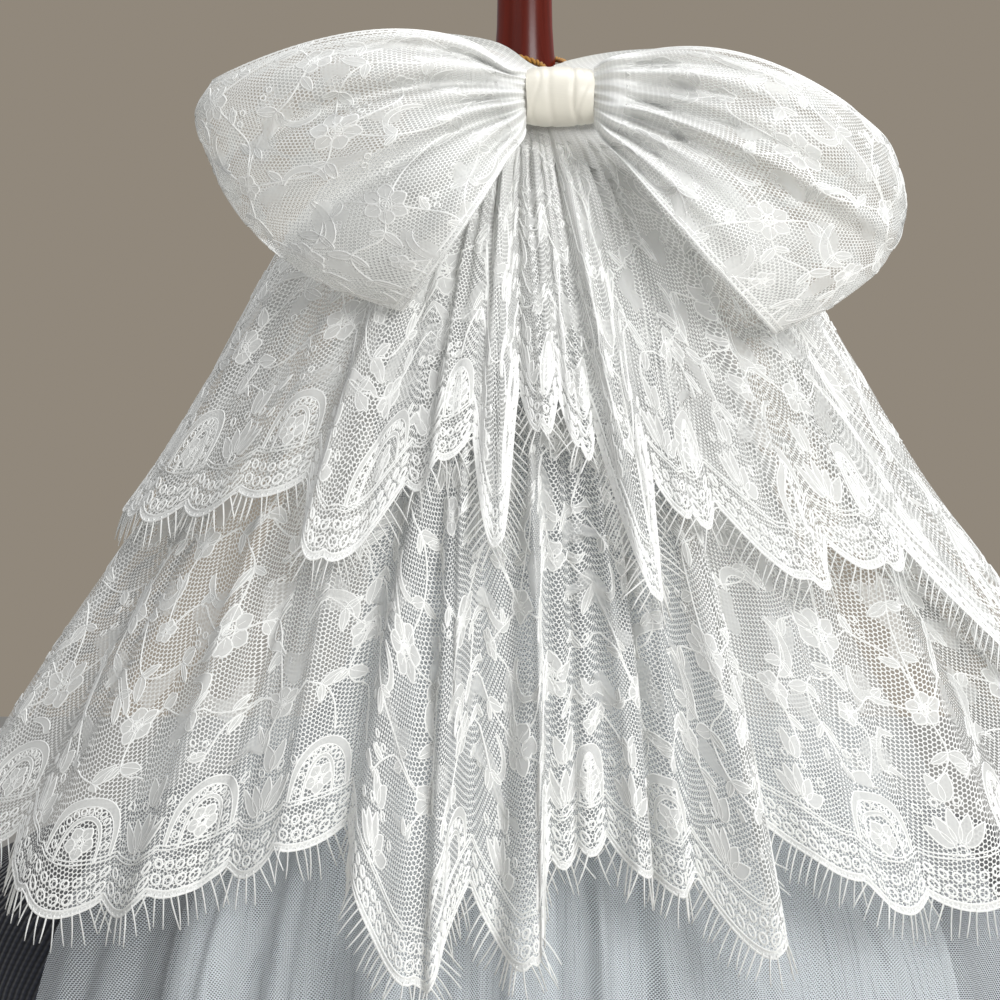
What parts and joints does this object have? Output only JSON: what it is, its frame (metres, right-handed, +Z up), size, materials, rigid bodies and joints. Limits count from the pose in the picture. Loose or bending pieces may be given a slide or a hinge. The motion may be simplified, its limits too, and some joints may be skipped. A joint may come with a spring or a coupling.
{
  "type": "bridal veil on a dress form",
  "caption": "short bridal veil with a lace bow, two scalloped lace tiers and plain tulle, draped on a limbless tabletop dress form",
  "frame": {"origin": "centre of the base's flat underside, on the surface that the dress form stands on", "axes": "+Z up; the side of the veil with the bow faces -Y; +X is to the right when facing the bow"},
  "size_m": [0.3543, 0.2959, 0.9795],
  "materials": {
    "bow_lace": "white net lace, matt",
    "lace": "white corded net lace, matt",
    "satin": "cream satin, soft sheen",
    "tulle": "sheer plain tulle, matt",
    "binding": "matt tape",
    "cord": "twisted ochre cord",
    "form_cover": "black ribbed cover, matt",
    "dark_wood": "red-brown varnish, glossy"
  },
  "bodies": {
    "root": {"bow_loop_left": "bow_lace", "bow_loop_right": "bow_lace", "bow_knot": "satin", "short_lace": "lace", "short_fringe": "lace", "long_lace": "lace", "long_fringe": "lace", "upper_tulle": "tulle", "lower_tulle": "tulle", "head_binding": "binding", "holding_cord": "cord", "form_body": "form_cover", "neck_cap": "dark_wood", "finial": "dark_wood", "post": "dark_wood", "base": "dark_wood"}
  },
  "joints": []
}
